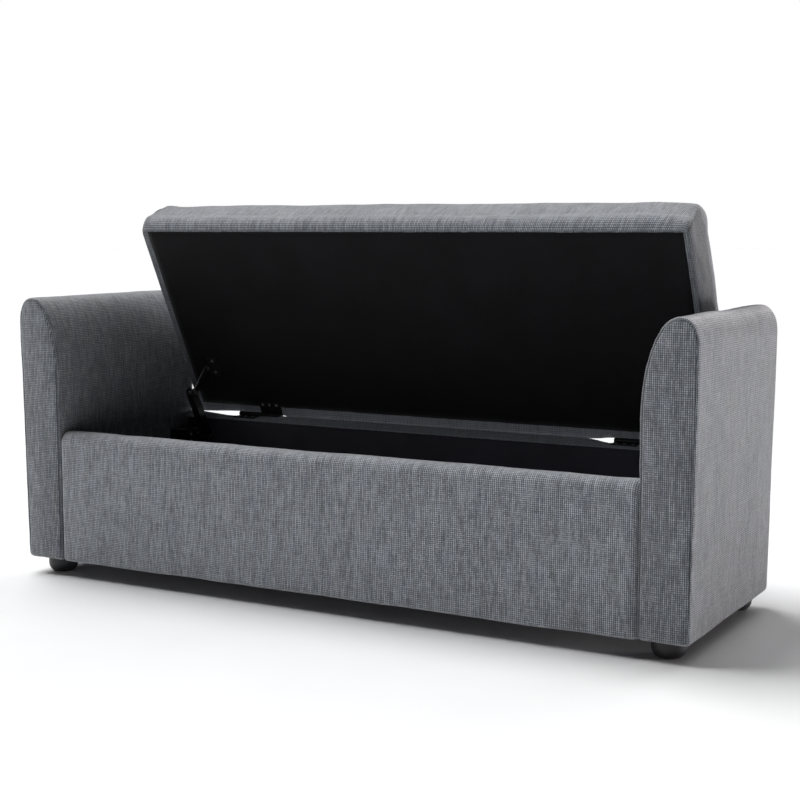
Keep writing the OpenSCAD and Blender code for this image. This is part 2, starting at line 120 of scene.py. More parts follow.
def make_world(seen, cast):
    """Plain pale surroundings: white where the camera sees them, dimmer as a light."""
    world = bpy.data.worlds.new("studio")
    world.use_nodes = True
    tree = world.node_tree
    tree.nodes.clear()
    out = tree.nodes.new("ShaderNodeOutputWorld")
    mix = tree.nodes.new("ShaderNodeMixShader")
    path = tree.nodes.new("ShaderNodeLightPath")
    tree.links.new(path.outputs["Is Camera Ray"], mix.inputs[0])
    for i, strength in enumerate((cast, seen)):
        back = tree.nodes.new("ShaderNodeBackground")
        back.inputs["Color"].default_value = (1, 1, 1, 1)
        back.inputs["Strength"].default_value = strength
        tree.links.new(back.outputs[0], mix.inputs[1 + i])
    tree.links.new(mix.outputs[0], out.inputs["Surface"])
    bpy.context.scene.world = world


# ---------- node materials ----------


class Graph:
    """One node material. Values that are the same all over are set on the shader's sockets."""

    def __init__(self, name, **constants):
        self.material = bpy.data.materials.new(name)
        self.material.use_nodes = True
        self.tree = self.material.node_tree
        self.shader = self.tree.nodes["Principled BSDF"]
        for socket, value in constants.items():
            self.shader.inputs[socket.replace("_", " ")].default_value = value

    def add(self, kind, *inputs, out=0, **settings):
        """One output of a new node, with its inputs in order, as values or as links."""
        node = self.tree.nodes.new("ShaderNode" + kind)
        for key, value in settings.items():
            setattr(node, key, value)
        for socket, value in zip(node.inputs, inputs):
            if isinstance(value, bpy.types.NodeSocket):
                self.tree.links.new(value, socket)
            elif value is not None:
                socket.default_value = value
        return node.outputs[out]

    def math(self, operation, a, b=0.0, c=0.0):
        return self.add("Math", a, b, c, operation=operation)

    def times(self, a, b):
        return self.math("MULTIPLY", a, b)

    def plus(self, a, b):
        return self.math("ADD", a, b)

    def within(self, value, span):
        """1 where value lies in a span, which is its middle and half of its length."""
        return self.math("COMPARE", value, *span)

    def ramp(self, value, *stops):
        """Colour along value: each stop is (place, colour)."""
        node = self.tree.nodes.new("ShaderNodeValToRGB")
        elements = node.color_ramp.elements
        while len(elements) < len(stops):
            elements.new(0.5)
        for element, (place, colour) in zip(elements, stops):
            element.position = place
            element.color = (*colour, 1)
        self.tree.links.new(value, node.inputs[0])
        return node.outputs[0]

    def remap(self, value, low, high, to_low, to_high):
        return self.add("MapRange", value, low, high, to_low, to_high)

    def blend(self, factor, a, b, kind="MIX"):
        """Colour between a and b, or by another kind of mixing."""
        node = self.tree.nodes.new("ShaderNodeMix")
        node.data_type = "RGBA"
        node.blend_type = kind
        for socket, value in zip((node.inputs[0], node.inputs[6], node.inputs[7]), (factor, a, b)):
            if isinstance(value, bpy.types.NodeSocket):
                self.tree.links.new(value, socket)
            else:
                socket.default_value = value if isinstance(value, float) else (*value, 1)
        return node.outputs[2]

    def place(self, x, y, z=0.0):
        return self.add("CombineXYZ", x, y, z)

    def noise(self, where, scale, detail, roughness=0.5):
        return self.add("TexNoise", where, None, scale, detail, roughness)

    def object_place(self):
        return self.add("TexCoord", out=3)

    def finish(self, colour, roughness=None, height=None, depth=0.001, strength=1.0):
        """The material, once its shader has its colour, roughness and bumps."""
        inputs = self.shader.inputs
        self.tree.links.new(colour, inputs["Base Color"])
        if roughness is not None:
            self.tree.links.new(roughness, inputs["Roughness"])
        if height is not None:
            bump = self.tree.nodes.new("ShaderNodeBump")
            bump.inputs["Strength"].default_value = strength
            bump.inputs["Distance"].default_value = depth
            self.tree.links.new(height, bump.inputs["Height"])
            self.tree.links.new(bump.outputs[0], inputs["Normal"])
        return self.material


RIB = 0.0035  # pitch of the ribs across the cloth
PICK = 0.0035  # pitch of the cross threads along a rib
BAND_SHIFT = -2.0  # where the arms' bands lie on the cloth
FACE_SHIFT = 2.0  # where the arms' faces lie on the cloth
PAD_SHIFT = 4.0  # where the middle of the lid's pad lies on the cloth
UNDER_SHIFT = 6.0  # where the middle of the cloth under the pad lies
REAR_SHIFT = 8.0  # where the left end of the rear panel lies

# lengths of cloth whose colour gets painted shade and painted light, as their middle and half of
# their length
BAND_SPAN = (BAND_SHIFT + 0.3, 0.4)
FACE_SPAN = (FACE_SHIFT + 0.05, 0.10)
PAD_END_SPAN = (0.75, 0.124)  # from the middle of the pad
UNDER_SPAN = (UNDER_SHIFT, 0.62)
REAR_SPAN = (REAR_SHIFT + 0.6, 0.62)
RAIL_SPAN = (0.272, 0.037)  # along the cloth, where it covers the top of the rail

# painted light and shade: how much lighter or darker the colour of a part of the bench is made, for
# the light and shade that fall on it
ARM_PAINTED_SHADE = -0.17  # the arms' faces and the lower part of their inner sides
PAD_END_PAINTED_SHADE = -0.50
# painted shade under the pad, turning to painted light round its rear hem
UNDER_PAINTED_SHADE_AND_LIGHT = -0.27  # under the pad, turning round at its rear hem
# painted light on the top of the rail
RAIL_PAINTED_LIGHT = 0.9


def weave_height(g, i, j):
    """Height of the small raised squares: 0 in a groove, 1 at the middle of a square."""
    rib, pick = (g.math("POWER", g.math("ABSOLUTE", g.math("SINE", g.times(k, math.pi))), 0.7)
                 for k in (i, j))
    return g.times(rib, g.plus(g.times(pick, 0.78), 0.22))


def yarn_shade(g, across, along, column, row):
    """Shade of the yarns, which changes along each thread and from thread to thread."""
    yarn = g.noise(g.place(g.times(column, 7.31), g.times(along, 26)), 1.0, 1.0)
    yarn = g.remap(yarn, 0.3, 0.7, 0.78, 1.24)
    cross = g.noise(g.place(g.times(across, 22), g.times(row, 5.17), 3.0), 1.0, 1.0)
    cross = g.remap(cross, 0.3, 0.7, 0.92, 1.08)
    knot = g.add("TexWhiteNoise", g.place(column, row), noise_dimensions="2D", out=0)
    knot = g.remap(knot, 0.0, 1.0, 0.88, 1.12)
    streak = g.noise(g.place(g.times(across, 40), g.times(along, 5), 8.0), 1.0, 3.0)
    streak = g.remap(streak, 0.25, 0.75, 0.91, 1.09)
    return g.times(g.times(yarn, cross), g.times(knot, streak))


def painted_light_and_shade(g, across, along):
    """Painted light and shade: colour made darker or lighter by the part of the bench that a place
    on the cloth covers, for the light and shade that fall there.
    """
    inside_arm = g.times(g.within(across, BAND_SPAN), g.remap(along, 0.40, 0.52, 1.0, 0.0))
    on_arm = g.plus(g.within(across, FACE_SPAN), inside_arm)
    from_middle = g.math("ABSOLUTE", g.plus(across, -PAD_SHIFT))
    on_pad_end = g.within(from_middle, PAD_END_SPAN)
    under_pad = g.times(g.within(across, UNDER_SPAN), g.remap(along, 0.17, 0.20, 1.0, -3.4))
    on_rail = g.times(g.within(across, REAR_SPAN), g.within(along, RAIL_SPAN))
    painted_shift = g.plus(g.times(on_arm, ARM_PAINTED_SHADE), g.times(on_pad_end, PAD_END_PAINTED_SHADE))
    painted_shift = g.plus(painted_shift, g.times(under_pad, UNDER_PAINTED_SHADE_AND_LIGHT))
    return g.plus(g.plus(painted_shift, 1.0), g.times(on_rail, RAIL_PAINTED_LIGHT))


def woven_fabric():
    """Slate cloth of small raised squares, with ribs whose yarn changes shade along its length,
    painted shade in the grooves between the squares and painted light and shade on parts of the
    bench.
    """
    g = Graph("slate_weave", Roughness=0.92, Specular_IOR_Level=0.25, Sheen_Weight=0.8,
              Sheen_Roughness=0.4, Sheen_Tint=(1, 0.96, 0.97, 1))
    cloth = g.add("SeparateXYZ", g.add("UVMap", uv_map="weave")).node.outputs
    across, along = cloth[0], cloth[1]
    i, j = g.math("DIVIDE", across, RIB), g.math("DIVIDE", along, PICK)
    cell = weave_height(g, i, j)
    yarns = yarn_shade(g, across, along, g.math("FLOOR", i), g.math("FLOOR", j))
    # painted light and shade on parts of the bench, on top of the yarns' own tone
    shade = g.times(yarns, painted_light_and_shade(g, across, along))
    # painted shade: the grooves between the raised squares are made darker in colour, the middles of
    # the squares lighter
    weave_and_painted_shade = g.times(g.plus(g.times(cell, 0.9), 0.08), shade)

    tint = g.noise(g.place(g.times(across, 45), g.times(along, 16), 5.0), 1.0, 1.5)
    blue = g.blend(g.remap(tint, 0.35, 0.65, 0.0, 1.0), (0.96, 0.99, 0.99), (0.95, 0.985, 1.04))
    base = g.ramp(weave_and_painted_shade, (0.0, (0.024, 0.025, 0.028)), (0.5, (0.190, 0.197, 0.212)),
                  (1.0, (0.56, 0.57, 0.60)))
    colour = g.blend(1.0, base, blue, "MULTIPLY")
    fuzz = g.noise(g.place(across, along), 2600.0, 2.0)
    height = g.plus(g.times(cell, 0.85), g.times(fuzz, 0.3))
    return g.finish(colour, None, height, 0.0009, 0.9)


PAINTED_LIGHT_FADE = (0.274, 0.288)  # heights between which the painted light on the black cloth fades out


def black_lining():
    """Thin black non-woven cloth in a fine pattern of dots, made a mottled lighter grey low down in
    the box as painted light.
    """
    g = Graph("black_nonwoven", Roughness=0.9, Sheen_Weight=0.12, Sheen_Roughness=0.5,
              Specular_IOR_Level=0.2)
    where = g.object_place()
    dots = g.add("TexVoronoi", where, None, 620.0, out=0)
    fibre = g.noise(where, 900.0, 4.0, 0.7)
    cloud = g.noise(where, 14.0, 3.0)
    value = g.plus(g.times(fibre, 0.6), g.times(cloud, 0.4))
    black = g.ramp(value, (0.3, (0.0028, 0.0028, 0.0034)), (0.75, (0.0095, 0.0095, 0.0115)))
    # painted light: below these heights the black turns to a mottled grey about ten times as light
    painted_light_low_down = g.remap(g.add("SeparateXYZ", where, out=2), *PAINTED_LIGHT_FADE, 1.0, 0.0)
    colour = g.blend(painted_light_low_down, black, g.blend(cloud, (0.066, 0.066, 0.081), (0.104, 0.101, 0.126)))
    height = g.plus(g.math("MINIMUM", g.times(dots, 1.4), 1.0), g.times(fibre, 0.5))
    return g.finish(colour, None, height, 0.0004, 0.7)


def plywood():
    """Pale birch plywood with long grain."""
    g = Graph("birch_plywood", Roughness=0.62)
    where = g.object_place()
    long = g.add("Mapping", where, None, None, (4.0, 60.0, 60.0))
    grain = g.noise(long, 1.0, 5.0, 0.65)
    ring = g.noise(g.add("Mapping", where, None, None, (1.2, 14.0, 14.0)), 1.0, 2.0)
    value = g.plus(g.times(grain, 0.6), g.times(ring, 0.4))
    colour = g.ramp(value, (0.3, (0.36, 0.235, 0.125)), (0.5, (0.55, 0.40, 0.235)),
                    (0.72, (0.66, 0.51, 0.33)))
    return g.finish(colour, g.remap(grain, 0.3, 0.7, 0.55, 0.75), grain, 0.0004, 0.5)


def black_board():
    """Fibre board painted matt black, with a slight orange peel and dust."""
    g = Graph("black_painted_board", Specular_IOR_Level=0.35)
    where = g.object_place()
    peel = g.noise(where, 420.0, 3.0)
    dust = g.noise(where, 36.0, 5.0, 0.7)
    colour = g.ramp(dust, (0.35, (0.0048, 0.0048, 0.0055)), (0.8, (0.014, 0.014, 0.0155)))
    return g.finish(colour, g.remap(dust, 0.3, 0.7, 0.55, 0.8), peel, 0.0003, 0.5)


def worn_edges(g, width):
    """1 on sharp outer edges, 0 on flat faces."""
    rounded = g.add("Bevel", width, samples=4)
    straight = g.add("NewGeometry", out=1)
    facing = g.add("VectorMath", rounded, straight, operation="DOT_PRODUCT", out=1)
    return g.remap(facing, 0.99, 0.86, 0.0, 1.0)


def black_steel():
    """Black painted steel: fine texture, scuffs, and bare metal where edges have rubbed."""
    g = Graph("black_painted_steel", Specular_IOR_Level=0.5)
    where = g.object_place()
    speck = g.noise(where, 1500.0, 3.0)
    patch = g.noise(where, 90.0, 4.0, 0.65)
    wear = g.times(worn_edges(g, 0.0006), g.remap(patch, 0.42, 0.62, 0.0, 1.0))
    paint = g.ramp(patch, (0.3, (0.008, 0.008, 0.009)), (0.75, (0.021, 0.021, 0.023)))
    colour = g.blend(wear, paint, (0.26, 0.255, 0.25))
    g.tree.links.new(wear, g.shader.inputs["Metallic"])
    rough = g.remap(patch, 0.3, 0.7, 0.34, 0.52)
    return g.finish(colour, rough, speck, 0.00015, 0.5)


def zinc_steel():
    """Zinc plated steel, brushed and slightly clouded."""
    g = Graph("zinc_plated_steel", Metallic=1.0)
    where = g.object_place()
    cloud = g.noise(where, 130.0, 4.0, 0.6)
    scratch = g.noise(g.add("Mapping", where, None, None, (300.0, 2400.0, 300.0)), 1.0, 2.0)
    colour = g.ramp(cloud, (0.3, (0.42, 0.42, 0.41)), (0.7, (0.64, 0.64, 0.61)))
    return g.finish(colour, g.remap(scratch, 0.3, 0.7, 0.24, 0.44), scratch, 0.0001, 0.4)


def black_plastic():
    """Moulded black plastic with a fine grain, duller where it has rubbed on the floor."""
    g = Graph("moulded_black_plastic", Specular_IOR_Level=0.45)
    where = g.object_place()
    grain = g.add("TexVoronoi", where, None, 900.0, out=0)
    smear = g.noise(where, 60.0, 4.0, 0.6)
    height = g.add("SeparateXYZ", where, out=2)
    low = g.remap(height, 0.0, 0.006, 1.0, 0.0)
    scuff = g.times(low, g.remap(smear, 0.4, 0.7, 0.2, 1.0))
    paint = g.ramp(smear, (0.3, (0.018, 0.018, 0.021)), (0.75, (0.032, 0.032, 0.036)))
    colour = g.blend(g.times(scuff, 0.5), paint, (0.06, 0.058, 0.055))
    rough = g.plus(g.remap(smear, 0.3, 0.7, 0.36, 0.5), g.times(scuff, 0.25))
    return g.finish(colour, rough, grain, 0.0002, 0.45)


def open_foam():
    """Cream polyurethane foam with open pores."""
    g = Graph("cream_foam", Roughness=0.95)
    where = g.object_place()
    pores = g.add("TexVoronoi", where, None, 520.0, out=0)
    cloud = g.noise(where, 9.0, 3.0)
    colour = g.ramp(g.plus(g.times(pores, 0.6), g.times(cloud, 0.5)),
                    (0.2, (0.40, 0.33, 0.16)), (0.7, (0.78, 0.70, 0.45)))
    return g.finish(colour, None, pores, 0.0008, 0.8)


def make_floor():
    """Plain pale studio floor."""
    g = Graph("studio_floor", Roughness=0.7, Specular_IOR_Level=0.2)
    mottle = g.noise(g.object_place(), 3.0, 3.0)
    colour = g.ramp(mottle, (0.3, (0.785, 0.79, 0.795)), (0.7, (0.812, 0.815, 0.819)))
    g.finish(colour)
    bpy.ops.mesh.primitive_circle_add(vertices=96, radius=40, fill_type="NGON")
    floor = bpy.context.object
    floor.name = "studio_floor"
    floor.data.materials.append(g.material)


# ---------- mesh helpers ----------


WELD = 2e-5  # distance under which the edges of patches join


def patch_mesh(name, patches):
    """A mesh of grid patches. A patch is (points, cloth), both as rows and columns: points are
    places, cloth the matching places on the flat fabric."""
    places, faces, flats = [], [], []
    for points, cloth in patches:
        points, cloth = np.asarray(points, float), np.asarray(cloth, float)
        rows, columns = points.shape[:2]
        first = len(places)
        places.extend(map(tuple, points.reshape(-1, 3)))
        index = first + np.arange(rows * columns).reshape(rows, columns)
        flat = cloth.reshape(-1, 2)
        quads = np.stack([index[:-1, :-1], index[:-1, 1:], index[1:, 1:], index[1:, :-1]], -1)
        for quad in quads.reshape(-1, 4):
            faces.append([int(v) for v in quad])
            flats.append([flat[v - first] for v in quad])
    mesh = bpy.data.meshes.new(name)
    mesh.from_pydata(places, [], faces)
    layer = mesh.uv_layers.new(name="weave")
    layer.data.foreach_set("uv", np.array(flats, np.float32).ravel())
    return mesh


def piece(name, patches, material, body, replaced=()):
    """One object of grid patches, welded where they meet."""
    mesh = patch_mesh(name, patches)
    work = bmesh.new()
    work.from_mesh(mesh)
    bmesh.ops.remove_doubles(work, verts=work.verts, dist=WELD)
    bmesh.ops.dissolve_degenerate(work, edges=work.edges, dist=WELD)
    bmesh.ops.recalc_face_normals(work, faces=work.faces)
    work.to_mesh(mesh)
    work.free()
    mesh.shade_smooth()
    made = bpy.data.objects.new(name, mesh)
    bpy.context.scene.collection.objects.link(made)
    made.data.materials.append(material)
    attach(made, body)
    if replaced:
        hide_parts(*replaced)
    return made


def vertex_places(mesh):
    """Where a mesh's points are, one row each."""
    values = np.zeros(len(mesh.vertices) * 3)
    mesh.vertices.foreach_get("co", values)
    return values.reshape(-1, 3)


def vertex_normals(mesh):
    """Which way a mesh faces at each of its points."""
    values = np.zeros(len(mesh.vertices) * 3)
    mesh.vertex_normals.foreach_get("vector", values)
    return values.reshape(-1, 3)


def set_vertices(obj, places):
    obj.data.vertices.foreach_set("co", np.asarray(places, np.float32).ravel())
    obj.data.update()


def ripple(obj, layers, mask=None):
    """Moves a mesh along its normals by smooth noise. Each layer is (height, (x, y, z) sizes)."""
    places, normals = vertex_places(obj.data), vertex_normals(obj.data)
    push = np.zeros(len(places))
    for k, (height, sizes) in enumerate(layers):
        scaled = places / np.array(sizes) + 17.3 * (k + 1)
        push += height * np.array([noise.noise(Vector(p)) for p in scaled])
    if mask is not None:
        push *= mask(places)
    set_vertices(obj, places + normals * push[:, None])


def subdivide(obj):
    """Rounds a mesh off by one level of subdivision."""
    smooth = obj.modifiers.new("smooth", "SUBSURF")
    smooth.levels = smooth.render_levels = 1
    smooth.uv_smooth = "PRESERVE_BOUNDARIES"


def fading(distance, run):
    """1 where distance is 0 or less, falling to 0 at run."""
    return np.clip(1 - distance / run, 0, 1)


def spread(low, high, step):
    """Evenly spaced places from low to high, about step apart."""
    return np.linspace(low, high, max(2, int(round(abs(high - low) / step)) + 1))


def run_length(points):
    """Distance along a line of points, from its start."""
    gaps = np.linalg.norm(np.diff(np.asarray(points, float), axis=0), axis=1)
    return np.concatenate([[0], np.cumsum(gaps)])


def arc(centre, radii, start, end, n):
    """Points of an arc in a plane, between two angles in degrees."""
    turn = np.radians(np.linspace(start, end, n))
    return [(centre[0] + radii[0] * math.cos(t), centre[1] + radii[1] * math.sin(t)) for t in turn]


def corner(y, z, radius, start, end, n):
    """Points of a rounded corner in a Y-Z section."""
    return arc((y, z), (radius, radius), start, end, n)


def line(a, b, n):
    """The points between a and b, without both ends."""
    return [tuple(p) for p in np.linspace(a, b, n + 2)[1:-1]]


def quarter(r_in, r_deep, start, end, n):
    """Inset and depth along part of a rounded edge: angle 0 is the side, 90 the end face."""
    turn = np.radians(np.linspace(start, end, n))
    return [(r_in * (1 - math.cos(t)), r_deep * (1 - math.sin(t))) for t in turn]


# ---------- arms ----------

CREST_X = 0.062  # from an arm's inner face to the top of its round
CREST_FLAT = 0.005
INNER_ROUND = 0.160
OUTER_ROUND = 0.046
FLARE = 0.007
ARM_HEEL = 0.009  # round along an arm's lower edges
SHARPEST_HEEL = 0.0015
FACE_COLUMNS = 14
FACE_CROWN = 0.0012  # how far an arm's flat ends stand out in their middle
EDGE_DEPTH = 0.009  # round of the plain lower edge of an arm's front face
EDGE_INSET = 0.019
FOOT_INSET = 0.004  # most by which the lower edge is drawn in
SEAM_FADE = 0.03  # height above the foot over which the front seam fades out
ARM_RIPPLE = [(0.0015, (0.12, 0.12, 0.2)), (0.0005, (0.035, 0.035, 0.06))]
SEAM_RIPPLE = [(0.0012, (0.010, 0.05, 0.010))]
SEAM_Y = 0.005  # from an arm's front end to its seam
SEAM_REACH = 0.008

# inset from the arm's outline and depth behind its end plane, from the band to the seam's groove
FRONT_BAND = [(g, d + 0.0018) for g, d in quarter(0.0036, 0.0066, 0, 74, 6)]
FRONT_BAND += [(0.0036, 0.0032), (0.0042, 0.0058)]
FRONT_FACE = [(0.0042, 0.0058), (0.0048, 0.0034), (0.0058, 0.0020), (0.0080, 0.0012),
              (0.0120, 0.0006), (0.0170, 0.0001)]
REAR_BAND = quarter(0.024, 0.026, 0, 72, 8) + [(0.0185, 0.0056), (0.0200, 0.0060)]
REAR_FACE = [(0.0200, 0.0060), (0.0210, 0.0036), (0.0225, 0.0022), (0.0245, 0.0014),
             (0.0265, 0.0008)]
BAND_START, BAND_END, BAND_STEP = 0.016, 0.030, 0.0085  # of the band's even part


def arm_section(inset, width, top, base):
    """Points of an arm's front view, x from the inner face: up the inner side, over the round,
    down the outer side. Also the lower edge, from the outer heel back to the inner one."""
    g = inset
    heel = max(ARM_HEEL - g, SHARPEST_HEEL)
    low = base + min(g, FOOT_INSET)
    crest, foot = CREST_X + CREST_FLAT, width - FLARE
    shoulder_z, heel_z = top - OUTER_ROUND, low + heel
    side = arc((g + heel, heel_z), (heel, heel), 270, 180, 5)
    side += [(g, z) for z in np.linspace(heel_z, top - INNER_ROUND, 34)[1:-1]]
    side += arc((CREST_X, top - INNER_ROUND), (CREST_X - g, INNER_ROUND - g), 180, 90, 26)
    other = arc((crest, shoulder_z), (width - crest - g, OUTER_ROUND - g), 90, 0, 13)
    other += [(width - g - FLARE * t, shoulder_z + (heel_z - shoulder_z) * t)
              for t in np.linspace(0, 1, 48)[1:]]
    other += arc((foot - g - heel, heel_z), (heel, heel), 0, -90, 5)[1:]
    bottom = [(x, low) for x in np.linspace(foot - g - heel, g + heel, FACE_COLUMNS + 1)]
    return np.array(side), np.array(other), np.array(bottom)


def arm_end(section, y, crown):
    """Flat end of an arm in rows that join its two sides at matching places, as x, y, z."""
    inner, outer, bottom = section
    outer_up = outer[::-1]
    rows = [bottom[::-1]]
    run_in, run_out = run_length(inner), run_length(outer_up)
    for k in range(1, len(inner)):
        there = run_in[k] / run_in[-1] * run_out[-1]
        far = np.array([np.interp(there, run_out, outer_up[:, c]) for c in (0, 1)])
        rows.append([inner[k] + (far - inner[k]) * s for s in np.linspace(0, 1, FACE_COLUMNS + 1)])
    rows = np.array(rows)
    middle = np.sin(np.linspace(0, math.pi, FACE_COLUMNS + 1))
    depth = y + crown * np.tile(middle, (len(rows), 1))
    return np.stack([rows[..., 0], depth, rows[..., 1]], -1)


def arm_ring(y, inset, size):
    """Places round the arm at y, as x from its inner face, y and z, drawn in by inset."""
    width, front, top, base = size
    inner, outer, bottom = arm_section(inset, width, top, base)
    loop = np.concatenate([inner, outer, bottom[1:]])
    depth = np.full(len(loop), y)
    if y < front + EDGE_DEPTH:
        # the seam fades out towards the foot, where the cloth is folded under
        seamless = fading(loop[:, 1] - base - inset, SEAM_FADE)
        bend = max(0.0, 1 - inset / EDGE_INSET)
        depth += seamless * (front + EDGE_DEPTH * (1 - math.sqrt(1 - bend * bend)) - y)
    return np.column_stack([loop[:, 0], depth, loop[:, 1]])


def arm_band(rear, size):
    """The cover's band, which runs from front to back round an arm."""
    front = size[1]
    band = [(front + d, g) for g, d in reversed(FRONT_BAND)]
    band += [(y, 0.0) for y in spread(front + BAND_START, rear - BAND_END, BAND_STEP)]
    band += [(rear - d, g) for g, d in REAR_BAND]
    rings = np.array([arm_ring(y, g, size) for y, g in band])
    around = run_length(rings[len(rings) // 2])
    stretch = run_length([(g, y) for y, g in band]) + BAND_SHIFT
    return rings, np.stack(np.meshgrid(stretch, around, indexing="ij"), -1)


def arm_face(profile, plane, outward, size):
    """The edge and the flat part of the cover at one end of an arm."""
    edge = np.array([arm_ring(plane - outward * d, g, size) for g, d in profile])
    width, _, top, base = size
    inset, depth = profile[-1]
    end = arm_end(arm_section(inset, width, top, base), plane - outward * depth,
                  FACE_CROWN * outward)
    return [(places, np.stack([places[..., 0] + FACE_SHIFT, places[..., 2]], -1))
            for places in (edge, end)]


def make_arm(side_name, sign):
    """The cover of one arm, with its padding."""
    low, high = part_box(side_name + "_arm_cover")
    inner_x = low.x if sign > 0 else high.x
    size = high.x - low.x, low.y, high.z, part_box("dust_cover")[1].z
    patches = [arm_band(high.y, size)]
    patches += arm_face(FRONT_FACE, low.y, -1, size) + arm_face(REAR_FACE, high.y, 1, size)
    placed = [(points * (sign, 1, 1) + (inner_x, 0, 0), flat) for points, flat in patches]
    arm = piece(side_name + "_arm_upholstery", placed, FABRIC, BENCH,
                [side_name + "_arm_cover", side_name + "_arm_padding"])
    # calmer near the inner face, which has to stay clear of the lid
    ripple(arm, ARM_RIPPLE, lambda p: np.clip(np.abs(p[:, 0] - inner_x) / 0.02, 0.35, 1))
    ripple(arm, SEAM_RIPPLE, lambda p: fading(np.abs(p[:, 1] - low.y - SEAM_Y), SEAM_REACH))
    subdivide(arm)


# ---------- front and rear panels ----------

PANEL_STEP = 0.009
PANEL_END_ROUND = 0.012
PANEL_CROWN = 0.003
FRONT_ROUND = 0.021  # of the front panel's upper edge
BACK_ROUND = 0.008  # of the same edge, on the side of the box
FOOT_ROUND = 0.008
PANEL_RIPPLE = [(0.0016, (0.10, 0.10, 0.16)), (0.0005, (0.03, 0.03, 0.05))]
BOARD_GAP = 0.0006  # between a panel's board and the cover's turned-in end
REAR_END = 0.003
RAIL_ROUND = 0.006
REAR_FOOT_ROUND = 0.004
RAIL_CROWN = 0.0078
REAR_RIPPLE = [(0.0009, (0.14, 0.14, 0.2)), (0.0004, (0.03, 0.05, 0.04))]
HEM_SAG = 0.0056  # how far the lid's rear hem hangs towards the rail between the hinges
HEM_BULGE = 0.002  # how far it stands out to the back there
LEAF_CROWN = 0.0045  # rise of the rail's cloth in front of the lid leaves
KNUCKLE_GAP = 0.004  # from the hinge pins to the place where that rise ends
KNUCKLE_RUN = 0.006  # length over which it ends
HINGE_SLACK = {"left": (0.115, 0.006), "right": (0.050, 0.008)}  # flat run to its left and right


def held_spans(last_leaf):
    """The length that each hinge holds flat, up to the end of one of its leaves."""
    return [(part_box(side + "_hinge_rail_leaf")[0].x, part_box(side + last_leaf)[1].x, slack)
            for side, slack in HINGE_SLACK.items()]


HELD_SPANS = held_spans("_hinge_lid_leaf")
RAIL_LEAF_SPANS = held_spans("_hinge_rail_leaf")


def clear_of(spans, x):
    """0 where a span holds the cloth flat, 1 well away from all of them."""
    share = np.ones_like(x)
    for low, high, (left, right) in spans:
        share = np.minimum(share, np.maximum((low - x) / left, (x - high) / right))
    share = np.clip(share, 0, 1)
    return share * share * (3 - 2 * share)


def loft_along_x(name, section, end_round, middle, shift, replaced):
    """A closed cover along X. section(x, inset) gives its Y-Z loop; end_round is the inset and
    the length of the round at each end."""
    inset, length = end_round
    left = [(middle[0] - length + d, g) for g, d in reversed(quarter(inset, length, 0, 85, 7)[1:])]
    right = [(-x, g) for x, g in reversed(left)]
    stations = left + [(x, 0.0) for x in middle] + right
    plain = section(middle[0], 0.0)
    around = run_length(plain + plain[:1])
    rings, cloth = [], []
    for (x, g), stretch in zip(stations, run_length(stations) + shift):
        loop = np.array(section(x, g))
        loop = np.concatenate([loop, loop[:1]])
        rings.append(np.column_stack([np.full(len(loop), x), loop]))
        cloth.append(np.column_stack([np.full(len(loop), stretch), around]))
    patches = [(rings, cloth)]
    for ring, flat in ((rings[0], cloth[0]), (rings[-1], cloth[-1])):
        centre = np.mean(ring, 0)
        inner = centre + (ring - centre) * 0.02
        patches.append(([ring, inner], [flat, flat + 0.01]))
    return piece(name, patches, FABRIC, BENCH, replaced)


def crown_front(panel, low, high, base):
    """Pushes a panel's front side out, most at mid height and not at all at its ends."""
    places = vertex_places(panel.data)
    height = np.clip((places[:, 2] - base) / (high.z - base), 0, 1)
    on_front = np.clip((low.y + 0.02 - places[:, 1]) / 0.02, 0, 1)
    from_end = np.clip((high.x - np.abs(places[:, 0])) / 0.06, 0, 1)
    places[:, 1] -= PANEL_CROWN * np.sin(height * math.pi) * on_front * np.sqrt(from_end)
    set_vertices(panel, places)


def make_front_panel():
    """The cover of the front panel, with its padding, turned in over the top of the board."""
    low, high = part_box("front_cover")
    lining_low, lining_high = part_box("front_lining")
    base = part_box("dust_cover")[1].z
    return_z, back = lining_high.z, high.y
    board_face = lining_low.y - BOARD_GAP

    def section(_, g):
        y, z = low.y + g, high.z - g * 0.8
        loop = corner(y + FOOT_ROUND, base + FOOT_ROUND, FOOT_ROUND, 270, 180, 5)
        loop += line((y, base + FOOT_ROUND), (y, z - FRONT_ROUND), 30)
        loop += corner(y + FRONT_ROUND, z - FRONT_ROUND, FRONT_ROUND, 180, 90, 9)
        loop += corner(back - BACK_ROUND, z - BACK_ROUND, BACK_ROUND, 90, 0, 6)
        loop += line((back, z - BACK_ROUND), (back, return_z), 2)
        loop += [(back, return_z + 0.0005), (board_face, return_z)]
        loop += line((board_face, return_z), (board_face, base), 12)
        return loop + [(board_face, base + 0.0003)]

    middle = spread(low.x + PANEL_END_ROUND, high.x - PANEL_END_ROUND, PANEL_STEP)
    panel = loft_along_x("front_upholstery", section, (PANEL_END_ROUND, PANEL_END_ROUND), middle,
                         0.0, ["front_cover", "front_padding"])
    crown_front(panel, low, high, base)
    ripple(panel, PANEL_RIPPLE)
    subdivide(panel)


def rail_rise(x, y, knuckle_y):
    """How far the cloth on the rail rises at x, y. It stays low at the hinges and their pins."""
    lift = RAIL_CROWN * clear_of(HELD_SPANS, x)
    front_lift = LEAF_CROWN * clear_of(RAIL_LEAF_SPANS, x)
    return max(lift, front_lift * min(max((knuckle_y - y) / KNUCKLE_RUN, 0), 1))


